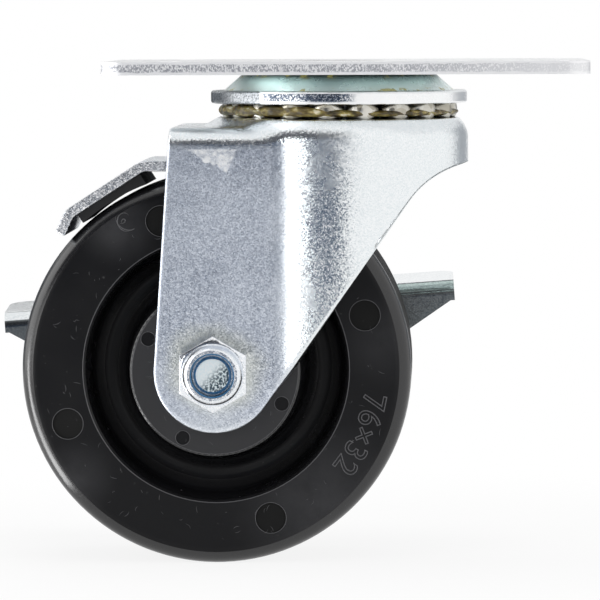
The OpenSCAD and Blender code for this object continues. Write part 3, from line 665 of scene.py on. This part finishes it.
def leg_sheet():
    """Half roof and leg in front of the crown, as a grid of rows over columns from the front edge to the
    start of the hollow. The front edge leans out as it goes down. Returns points and their grid size."""
    depth, drop = inward_steps(np.array([leg_y]), np.array([roof_edge_r]))
    wall_z = roof_top - roof_edge_r - leg_drop * wall_rows[:split_row, None]
    row_z = np.vstack([roof_top - drop, wall_z])
    front = np.interp(-row_z, [-front_top[1], -front_touch[1]], [front_top[0], front_touch[0]])
    ahead = front + (notch_x - front) * np.linspace(0, 1, ahead_columns + 1)[:-1]
    behind = np.linspace(notch_x, hollow_centre[0], behind_columns)
    behind = np.broadcast_to(behind, (len(front), behind_columns))
    x = np.hstack([ahead, behind])
    y = np.vstack([depth - leg_y, 0 * wall_z - leg_y]) + 0 * x
    top = len(depth)
    z = row_z + 0 * x
    z[:top] = roof_height(x[:top], y[:top]) - drop
    z[top:] += (roof_height(x[top:], leg_y) - roof_top) * (1 - wall_rows[:split_row, None])
    return np.stack([x, y, z], axis=-1)


def boss_sheet(top_row):
    """Lower end of the leg: rings that change from the axle's hole to the outline, which runs along the
    last row above, down the side of the hollow, round the boss and up the front edge."""
    side_z = roof_top - roof_edge_r - leg_drop * wall_rows[split_row:]
    side_z = side_z + (roof_height(hollow_centre[0], leg_y) - roof_top) * (1 - wall_rows[split_row:])
    side = np.stack([np.full(len(side_z), hollow_centre[0]), side_z], axis=1)
    bearings = [np.arctan2(*(point - axle)[::-1]) for point in (rear_touch, front_touch)]
    round_turn = np.linspace(bearings[0], bearings[1] - 2 * np.pi, 41)
    boss = axle + boss_r * np.stack([np.cos(round_turn), np.sin(round_turn)], axis=1)
    up = front_touch + (top_row[0, [0, 2]] - front_touch) * np.linspace(0, 1, 9)[1:-1, None]
    outline = np.vstack([top_row[:, [0, 2]], side, boss, up])
    away = outline - axle
    hole = axle + axle_hole_r * away / np.linalg.norm(away, axis=1)[:, None]
    flat = hole + (outline - hole) * np.linspace(0, 1, 8)[:, None, None]
    return np.stack([flat[..., 0], 0 * flat[..., 0] - leg_y, flat[..., 1]], axis=-1)


def crown_sheet():
    """Hollow and half of the round crown: at each station of the plan path a line runs in from the wall to
    the middle or to the kingpin's hole, and another runs down the wall to the skirt's lower edge."""
    turn = np.linspace(np.pi / 2, np.pi / 2 - hollow_turn, 19)
    hollow_in = np.stack([np.cos(turn), np.sin(turn)], axis=1)
    turn = np.linspace(-np.pi / 2 - hollow_turn, 0, 73)[1:]
    crown_in = -np.stack([np.cos(turn), np.sin(turn)], axis=1)
    wall = np.vstack([hollow_centre + hollow_r * hollow_in, -crown_r * crown_in])
    inward = np.vstack([hollow_in, crown_in])
    share = np.clip(np.arange(len(wall)) / 18, 0, 1)
    edge = roof_edge_r + (crown_edge_r - roof_edge_r) * share ** 2 * (3 - 2 * share)
    along = (wall * inward).sum(axis=1)
    inside = along ** 2 - (wall ** 2).sum(axis=1) + kingpin_hole_r ** 2
    to_hole = np.where(inside > 0, -along - np.sqrt(np.clip(inside, 0, None)), np.inf)
    to_middle = np.where(inward[:, 1] > 1e-9, -wall[:, 1] / np.maximum(inward[:, 1], 1e-9), np.inf)
    depth, drop = inward_steps(np.minimum(to_hole, to_middle), edge)
    x = wall[:, 0] + depth * inward[:, 0]
    y = wall[:, 1] + depth * inward[:, 1]
    z = roof_height(x, y) - drop
    wall_top = z[-1]
    down = wall_top + (np.interp(wall[:, 0], *lower_edge.T) - wall_top) * wall_rows[:, None]
    rows = len(wall_rows)
    x = np.vstack([x, np.repeat(wall[None, :, 0], rows, axis=0)])
    y = np.vstack([y, np.repeat(wall[None, :, 1], rows, axis=0)])
    return np.stack([x, y, np.vstack([z, down])], axis=-1)


def fork_sheet():
    """Outer surface of the fork: both halves from the same three grids, the far half with the notch that
    lets the brake's stud through. Returns points in metres and faces."""
    leg, crown = leg_sheet(), crown_sheet()
    boss = boss_sheet(leg[-1])
    points, faces, start = [], [], 0
    for side in (1, -1):
        for grid, closed in ((leg, False), (boss, True), (crown, False)):
            patch = quads(*grid.shape[:2], closed)
            if grid is leg and side < 0:
                row, column = np.divmod(patch[:, 0], grid.shape[1])
                first = len(roof_rows) + rows_to_notch - 1
                patch = patch[(column >= ahead_columns) | (row < first) | (row >= first + notch_rows)]
            points.append((grid * (1, side, 1)).reshape(-1, 3))
            faces.append(patch[:, ::side] + start)
            start += grid.shape[0] * grid.shape[1]
    return np.vstack(points) * mm, np.vstack(faces)


def welded(piece, upward=None):
    """Welds the seams of a piece's grids and turns its faces outwards. For an open sheet, upward says which
    way most of its area looks."""
    work = bmesh.new()
    work.from_mesh(piece.data)
    bmesh.ops.remove_doubles(work, verts=work.verts, dist=1e-6)
    bmesh.ops.dissolve_degenerate(work, edges=work.edges, dist=1e-7)
    bmesh.ops.recalc_face_normals(work, faces=work.faces)
    area_up = sum(face.normal.z * face.calc_area() for face in work.faces)
    if upward is not None and (area_up > 0) != upward:
        bmesh.ops.reverse_faces(work, faces=work.faces)
    work.to_mesh(piece.data)
    work.free()
    piece.data.polygons.foreach_set("use_smooth", np.ones(len(piece.data.polygons), bool))


def distance_from(nodes, links, place, point, counted):
    """Distance from a point, in which each axis counts fully or not at all."""
    kept = nodes.new("ShaderNodeMapping")
    kept.inputs["Scale"].default_value = counted
    away = nodes.new("ShaderNodeVectorMath")
    away.operation = "DISTANCE"
    away.inputs[1].default_value = point
    links.new(place, kept.inputs["Vector"])
    links.new(kept.outputs["Vector"], away.inputs[0])
    return away.outputs["Value"]


def fork_finish():
    """Plating of the fork: rough and crystalline on the flat legs, smoother on the drawn crown, and with a
    pale flaked patch under the roof's near edge. It is paler towards the leg's lower end, a painted
    highlight."""
    material, nodes, links, shader, place = shaded("zinc plated fork", 1.0)
    parts = separated(nodes, links, place)
    crystal = faceted(nodes, links, shader, place, 4600.0, 0.14)
    cloud = noise(nodes, links, place, 70.0, 4.0)
    drawn = ranged(nodes, links, parts.outputs["X"], -14 * mm, -6 * mm, 0.0, 1.0)
    bent = ranged(nodes, links, parts.outputs["Z"], -17.2 * mm, -15.2 * mm, 0.0, 1.0)
    drawn = combined(nodes, links, "MAXIMUM", drawn, bent)
    flat = toned(nodes, links, crystal, [(0.05, (0.48, 0.52, 0.60)), (0.95, (0.84, 0.89, 0.97))])
    round_face = toned(nodes, links, crystal, [(0.05, (0.80, 0.85, 0.87)), (0.95, zinc_pale)])
    base = blended(nodes, links, drawn, flat, round_face)
    jag = noise(nodes, links, place, 420.0, 2.0, (1.0, 0.0, 0.10))
    slant = ranged(nodes, links, parts.outputs["X"], -30 * mm, -20.5 * mm, -18.6 * mm, -23.4 * mm)
    edge_z = combined(nodes, links, "ADD", combined(nodes, links, "MULTIPLY", jag, 4.4 * mm), slant)
    above = combined(nodes, links, "SUBTRACT", parts.outputs["Z"], edge_z)
    patch = ranged(nodes, links, above, -0.15 * mm, 0.25 * mm, 0.0, 1.0)
    leaning = combined(nodes, links, "MULTIPLY", parts.outputs["Z"], -0.45)
    lean = combined(nodes, links, "ADD", parts.outputs["X"], leaning)
    for across, low, high in ((parts.outputs["X"], -30.2, -29.0), (lean, -11.2, -11.8)):
        inside = ranged(nodes, links, across, low * mm, high * mm, 0.0, 1.0)
        patch = combined(nodes, links, "MULTIPLY", patch, inside)
    below_edge = ranged(nodes, links, parts.outputs["Z"], -17.0 * mm, -16.5 * mm, 1.0, 0.0)
    near_side = ranged(nodes, links, parts.outputs["Y"], -22.8 * mm, -22.9 * mm, 0.0, 1.0)
    on_leg = combined(nodes, links, "MULTIPLY", below_edge, near_side)
    patch = combined(nodes, links, "MULTIPLY", patch, on_leg)
    flake = ranged(nodes, links, noise(nodes, links, place, 900.0, 3.0), 0.35, 0.6, 0.35, 0.9)
    patch = combined(nodes, links, "MULTIPLY", patch, flake)
    flaked = toned(nodes, links, crystal, [(0.3, (0.90, 0.92, 0.93)), (0.7, (0.97, 0.97, 0.97))])
    base = blended(nodes, links, patch, base, flaked)
    from_axle = distance_from(nodes, links, place, (axle[0] * mm, 0.0, axle[1] * mm), (1.0, 0.0, 1.0))
    spill = combined(nodes, links, "ADD", from_axle, combined(nodes, links, "MULTIPLY", cloud, 7.0 * mm))
    stained = ranged(nodes, links, spill, 9.5 * mm, 14.0 * mm, 0.65, 0.0)
    stained = combined(nodes, links, "MULTIPLY", stained, near_side)
    stain = toned(nodes, links, crystal, [(0.1, (0.66, 0.68, 0.58)), (0.9, (0.95, 0.95, 0.86))])
    base = blended(nodes, links, stained, base, stain)
    # Paler towards the leg's lower end: painted highlight.
    lower_leg_painted_highlight = ranged(nodes, links, parts.outputs["Z"], -66.0 * mm, -72.0 * mm, 0.0, 0.55)
    links.new(blended(nodes, links, lower_leg_painted_highlight, base, round_face), shader.inputs["Base Color"])
    smooth = ranged(nodes, links, drawn, 0.0, 1.0, 0.36, 0.25)
    rough = combined(nodes, links, "ADD", smooth, ranged(nodes, links, cloud, 0.3, 0.7, -0.04, 0.06))
    links.new(combined(nodes, links, "ADD", rough, combined(nodes, links, "MULTIPLY", patch, 0.25)),
              shader.inputs["Roughness"])
    return material


fork = mesh_piece("fork_finished", *fork_sheet())
welded(fork, upward=True)
fork.data.materials.append(fork_finish())
wall = fork.modifiers.new("sheet thickness", "SOLIDIFY")
wall.thickness = sheet * mm
wall.offset = -1.0
rim = fork.modifiers.new("broken edges", "BEVEL")
rim.width = 0.5 * mm
rim.segments = 3
rim.limit_method = "ANGLE"
rim.angle_limit = np.radians(50)
rim.use_clamp_overlap = False
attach(fork, "fork")
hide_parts("fork")

# Wheel
# One moulding of hard black plastic with a hub, a deep round groove and a rim on both sides.
# Half glossy from the tool, with scuffs and dust from handling, and with ejector marks.


def black_plastic(name, colour, roughness, dust, shine, hazes=()):
    """Black plastic: dark colour with fine grey specks of dust, and roughness in clouds. shine is the
    level of its mirror reflection, 0.5 for plain plastic. Hazes are rubbed places on the near side, each
    with its offset from the axle in x and z, its reach and its strength."""
    material, nodes, links, shader, place = shaded(name, 0.0)
    shader.inputs["Specular IOR Level"].default_value = shine
    speck = noise(nodes, links, place, 900.0, 4.0)
    cloud = noise(nodes, links, place, 120.0, 5.0)
    base = toned(nodes, links, speck, [(0.68, colour), (0.80, dust)])
    for x, z, reach, strength in hazes:
        middle = ((axle[0] + x) * mm, rim_face_y * mm, (axle[1] + z) * mm)
        away = distance_from(nodes, links, place, middle, (1.0, 1.0, 1.0))
        frayed = combined(nodes, links, "MULTIPLY", cloud, 0.8 * reach * mm)
        away = combined(nodes, links, "ADD", away, frayed)
        rubbed = ranged(nodes, links, away, 0.4 * reach * mm, 1.4 * reach * mm, strength, 0.0)
        haze = toned(nodes, links, cloud, [(0.3, haze_dark), (0.7, haze_pale)])
        base = blended(nodes, links, rubbed, base, haze)
    links.new(base, shader.inputs["Base Color"])
    links.new(ranged(nodes, links, cloud, 0.3, 0.7, *roughness), shader.inputs["Roughness"])
    relief(nodes, links, shader, speck, 0.01 * mm)
    return material


rim_face_y = -15.875
haze_dark, haze_pale = (0.020, 0.020, 0.022), (0.060, 0.060, 0.064)
rubbed_places = [(-19, 28, 9, 0.9), (20, -26, 20, 0.7), (-27, -21, 9, 0.6), (32, 6, 11, 0.4)]
wheel_side = black_plastic("black wheel side", (0.005, 0.005, 0.006), (0.30, 0.42),
                           (0.06, 0.06, 0.06), 0.2, rubbed_places)
wheel_shoulder = black_plastic("black wheel shoulder", (0.006, 0.006, 0.007), (0.20, 0.28),
                               (0.04, 0.04, 0.04), 0.75)
wheel_tread = black_plastic("black wheel tread", (0.008, 0.008, 0.008), (0.60, 0.72),
                            (0.05, 0.05, 0.05), 0.15)
wheel_hub = black_plastic("black wheel hub", (0.022, 0.022, 0.024), (0.40, 0.55), (0.09, 0.09, 0.09), 0.4)
wheel_finishes = [wheel_shoulder, wheel_side, wheel_tread, wheel_hub]
wheel = softened("wheel_finished", "wheel", "wheel", 0.2 * mm, wheel_finishes)
hub_face_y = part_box("wheel")[1][1]
faces_where(wheel, lambda normal, centre: abs(normal[:, 1]) > 0.95, 1)
faces_where(wheel, lambda normal, centre: abs(normal[:, 1]) < 0.04, 2)
faces_where(wheel, lambda normal, centre: abs(centre[:, 1]) > hub_face_y - 0.2 * mm, 3)
mark_floor_y, mark_slack = 15.62 * mm, 0.1 * mm
faces_where(wheel, lambda normal, centre: (abs(normal[:, 1]) > 0.95)
            & (abs(abs(centre[:, 1]) - mark_floor_y) < mark_slack), 2)

wheel_line = black_plastic("black wheel worn line", (0.085, 0.085, 0.09), (0.35, 0.5),
                           (0.2, 0.2, 0.2), 0.5)
wheel_centre = axle
hub_side_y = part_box("wheel")[0][1] / mm
rim_mark_r, rim_mark_size, rim_mark_turn = 30.675, 3.0, np.radians(20.0)
hub_mark_r, hub_mark_size, hub_mark_turn = 14.3, 1.4, np.radians(64.0)
groove_edge_r, hub_edge_r = 25.85, 16.0
scuff_count, scuff_seed = 110, 7


def strand(path, thick):
    """Thin raised line along a path of plan points and a depth: rings of six points whose radius is
    thick times the given taper, so that an open line ends in a point. Faces close round the line."""
    around = np.linspace(0, 2 * np.pi, 6, endpoint=False)
    ahead = np.gradient(path[:, [0, 2]], axis=0)
    ahead /= np.maximum(np.linalg.norm(ahead, axis=1), 1e-9)[:, None]
    side = np.stack([-ahead[:, 1], 0 * ahead[:, 0], ahead[:, 0]], axis=1)
    out = np.array([0.0, -1.0, 0.0])
    ring = np.cos(around)[None, :, None] * side[:, None, :] + 0.6 * np.sin(around)[None, :, None] * out
    return path[:, None, :] + thick[:, None, None] * ring


def circle_line(x, z, y, radius, thick):
    """Round strand about a point of the wheel's side, its last ring on its first."""
    turn = np.linspace(0, 2 * np.pi, 97)
    path = np.stack([x + radius * np.cos(turn), y + 0 * turn, z + radius * np.sin(turn)], axis=1)
    rings = strand(path, thick + 0 * turn)
    rings[[0, -1]] = (rings[0] + rings[-1]) / 2
    return rings


def scuff_lines(count, seed):
    """Short bent scratches spread over the rim's face and the hub's face: each is an arc whose length, bend
    and place are drawn from a seeded generator, and which ends in points."""
    draw = np.random.default_rng(seed)
    share = np.linspace(-1, 1, 9)
    lines = []
    for number in range(count):
        on_hub = number % 4 == 3
        radius = draw.uniform(11.6, 15.2) if on_hub else draw.uniform(26.8, 34.0)
        bearing, heading = draw.uniform(0, 2 * np.pi, 2)
        length, bend, thick = draw.uniform(0.1, 0.9), draw.uniform(-0.4, 0.4), draw.uniform(0.02, 0.05)
        turn = heading + bend * share
        x = wheel_centre[0] + radius * np.cos(bearing) + length * share * np.cos(turn)
        z = wheel_centre[1] + radius * np.sin(bearing) + length * share * np.sin(turn)
        y = np.full(9, hub_side_y if on_hub else rim_face_y)
        lines.append(strand(np.stack([x, y, z], axis=1), thick * (1 - share ** 2)))
    return lines


def curl_lines():
    """Curled scuff of the rim: three loops of a shrinking circle whose middle drifts."""
    turn = np.linspace(0, 1, 40)
    lines = []
    for start, size, drift in ((0.4, 1.7, (1.2, -1.6)), (2.6, 1.2, (2.4, -2.6)), (4.4, 0.8, (0.6, -0.8))):
        angle = start + 1.6 * np.pi * turn
        x = wheel_centre[0] - 18.3 + drift[0] * turn + size * (1 - 0.5 * turn) * np.cos(angle)
        z = wheel_centre[1] + 29.2 + drift[1] * turn + size * (1 - 0.5 * turn) * np.sin(angle)
        path = np.stack([x, np.full(40, rim_face_y), z], axis=1)
        lines.append(strand(path, 0.11 * np.sin(np.pi * turn) ** 0.7))
    return lines


def wheel_lines():
    """All thin raised lines of the wheel's near side, in one mesh: flash round the ejector marks and along
    the edges of groove and hub, and scratches. Returns points in metres and faces."""
    lines = [circle_line(*wheel_centre, rim_face_y, groove_edge_r, 0.09),
             circle_line(*wheel_centre, hub_side_y, hub_edge_r, 0.07)]
    for quarter in range(4):
        for radius, size, turn, y in ((rim_mark_r, rim_mark_size, rim_mark_turn, rim_face_y),
                                      (hub_mark_r, hub_mark_size, hub_mark_turn, hub_side_y)):
            bearing = quarter * np.pi / 2 + turn
            x, z = wheel_centre + radius * np.array([np.cos(bearing), np.sin(bearing)])
            lines.append(circle_line(x, z, y, size, 0.06))
    lines += scuff_lines(scuff_count, scuff_seed) + curl_lines()
    points, faces, start = [], [], 0
    for rings in lines:
        points.append(rings.reshape(-1, 3))
        faces.append(quads(*rings.shape[:2], closed=True) + start)
        start += rings.shape[0] * rings.shape[1]
    return np.vstack(points) * mm, np.vstack(faces)


lines = mesh_piece("wheel_flash", *wheel_lines())
welded(lines)
lines.data.materials.append(wheel_line)
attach(lines, "wheel")


def rim_number(index, letter, bearing, size, depth):
    """Raised outline figure on the rim: a text curve made a mesh, whose own x runs round the rim, whose
    own y points out from the axle and whose face looks along -Y."""
    curve = bpy.data.curves.new("figure", "FONT")
    curve.body = letter
    curve.size = size
    curve.align_x = "CENTER"
    curve.align_y = "CENTER"
    curve.fill_mode = "NONE"
    curve.bevel_depth = depth
    curve.bevel_resolution = 1
    shape = bpy.data.objects.new("figure", curve)
    scene.collection.objects.link(shape)
    mesh = bpy.data.meshes.new_from_object(shape)
    bpy.data.objects.remove(shape)
    out = Vector((np.cos(bearing), 0, np.sin(bearing)))
    along = Vector((np.sin(bearing), 0, -np.cos(bearing)))
    middle = Vector((wheel_centre[0], rim_face_y, wheel_centre[1])) * mm + out * number_r
    turned = Matrix((along, out, along.cross(out))).transposed().to_4x4()
    mesh.transform(Matrix.Translation(middle) @ turned)
    figure = bpy.data.objects.new("rim_number_%d" % index, mesh)
    scene.collection.objects.link(figure)
    mesh.materials.clear()
    mesh.materials.append(wheel_line)
    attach(figure, "wheel")


number_r, number_size, number_depth = 31.0 * mm, 6.4 * mm, 0.11 * mm
for index, (letter, degrees) in enumerate(zip("76\u00d732", (-11.5, -17.8, -24.2, -30.4, -36.7))):
    rim_number(index, letter, np.radians(degrees), number_size, number_depth)

# Axle sleeve, bolt, washer and lock nut
# A steel sleeve keeps the legs apart and carries the wheel. The hexagon bolt comes from the pedal side,
# with a washer, and its plated lock nut holds a ring of blue nylon.

finish_node("axle_sleeve", bare_steel)
nut_face = plated_steel("zinc plated nut", (0.95, 0.96, 0.98), (0.78, 0.82, 0.86),
                        5200.0, (0.14, 0.22), 0.08)


def bolt_end_finish():
    """Cut end of the bolt: pale and smooth towards its upper left, and dark speckled towards its lower
    right, along the difference of x and z."""
    material, nodes, links, shader, place = shaded("zinc plated bolt end", 1.0)
    parts = separated(nodes, links, place)
    crystal = noise(nodes, links, place, 2200.0, 2.0)
    across = combined(nodes, links, "SUBTRACT", parts.outputs["X"], parts.outputs["Z"])
    middle = axle[0] - axle[1]
    thick = ranged(nodes, links, across, (middle - 1.8) * mm, (middle + 2.0) * mm, 0.0, 1.0)
    smooth = toned(nodes, links, crystal, [(0.3, (0.84, 0.95, 0.99)), (0.7, (0.97, 1.0, 1.0))])
    dark = toned(nodes, links, crystal, [(0.44, (0.05, 0.09, 0.12)), (0.60, (0.86, 0.95, 0.97))])
    links.new(blended(nodes, links, thick, smooth, dark), shader.inputs["Base Color"])
    shader.inputs["Roughness"].default_value = 0.5
    return material


for node in ("axle_washer", "lock_nut"):
    softened(node + "_finished", node, "fork", 0.2 * mm, [nut_face])
bolt_finishes = [nut_face, bolt_end_finish()]
bolt = softened("axle_bolt_finished", "axle_bolt", "fork", 0.2 * mm, bolt_finishes)
faces_where(bolt, lambda normal, centre: normal[:, 1] < -0.9, 1)
insert_blue = black_plastic("blue nylon", (0.045, 0.17, 0.34), (0.24, 0.32), (0.14, 0.30, 0.50), 0.4)
softened("lock_nut_insert_finished", "lock_nut_insert", "fork", 0.3 * mm, [insert_blue])

# Brake leaf and pad
# Bent strip of spring steel under the roof, plated, with a block of black rubber bonded to its underside.
# The pedal's stud presses it on the tread, and it springs back by itself.

leaf_side = plated_steel("zinc plated leaf edge", (0.98, 0.98, 0.99), (0.26, 0.28, 0.31),
                         4400.0, (0.34, 0.46), 0.30)
leaf_finishes = [plated_face, leaf_side]
leaf = softened("brake_leaf_finished", "brake_leaf", "brake", 0.3 * mm, leaf_finishes)
faces_where(leaf, lambda normal, centre: abs(normal[:, 1]) > 0.5, 1)
pad_black = black_plastic("black pad rubber", (0.012, 0.012, 0.013), (0.6, 0.8), (0.06, 0.06, 0.06), 0.3)
finish_node("brake_pad", pad_black)

# Brake pedal, its stud and its bush
# Plate of sheet steel that rocks on a turned bush on the axle, with a foot tab bent out at each end.
# A stud riveted into its arm reaches over the leaf and presses it down.

pedal_face = plated_steel("zinc plated pedal", (0.85, 0.87, 0.88), (0.70, 0.74, 0.76),
                          5200.0, (0.12, 0.20), 0.05)
# Dark copy of the plating for the faces that look along -Y: painted shade of the web under its tab and
# behind the wheel.
pedal_web_painted_shade = plated_steel("zinc plated web, painted shade", (0.22, 0.235, 0.24), (0.15, 0.165, 0.17),
                         5200.0, (0.20, 0.28), 0.03)
# Teal copy of the plating for the bend between the right tab's top and its web: painted reflection.
pedal_bend_painted_reflection = plated_steel("zinc plated bend, painted reflection", (0.52, 0.62, 0.60), (0.36, 0.44, 0.43),
                          4600.0, (0.16, 0.24), 0.08)
pedal_finishes = [pedal_face, pedal_web_painted_shade, pedal_bend_painted_reflection, leaf_side]
pedal = softened("brake_pedal_finished", "brake_pedal", "pedal", 0.3 * mm,
                 pedal_finishes)
# Faces that look along -Y take the dark copy: painted shade.
faces_where(pedal, lambda normal, centre: normal[:, 1] < -0.9, 1)
left_tab_x = -55 * mm
faces_where(pedal, lambda normal, centre: (normal[:, 1] < -0.9) & (centre[:, 0] < left_tab_x), 3)
# The bend's faces that look forward and up take the teal copy: painted reflection.
faces_where(pedal, lambda normal, centre: (normal[:, 1] < -0.35) & (normal[:, 2] > 0.25)
            & (centre[:, 0] > 0), 2)
for node in ("cam_stud", "pedal_bush"):
    finish_node(node, bare_steel)
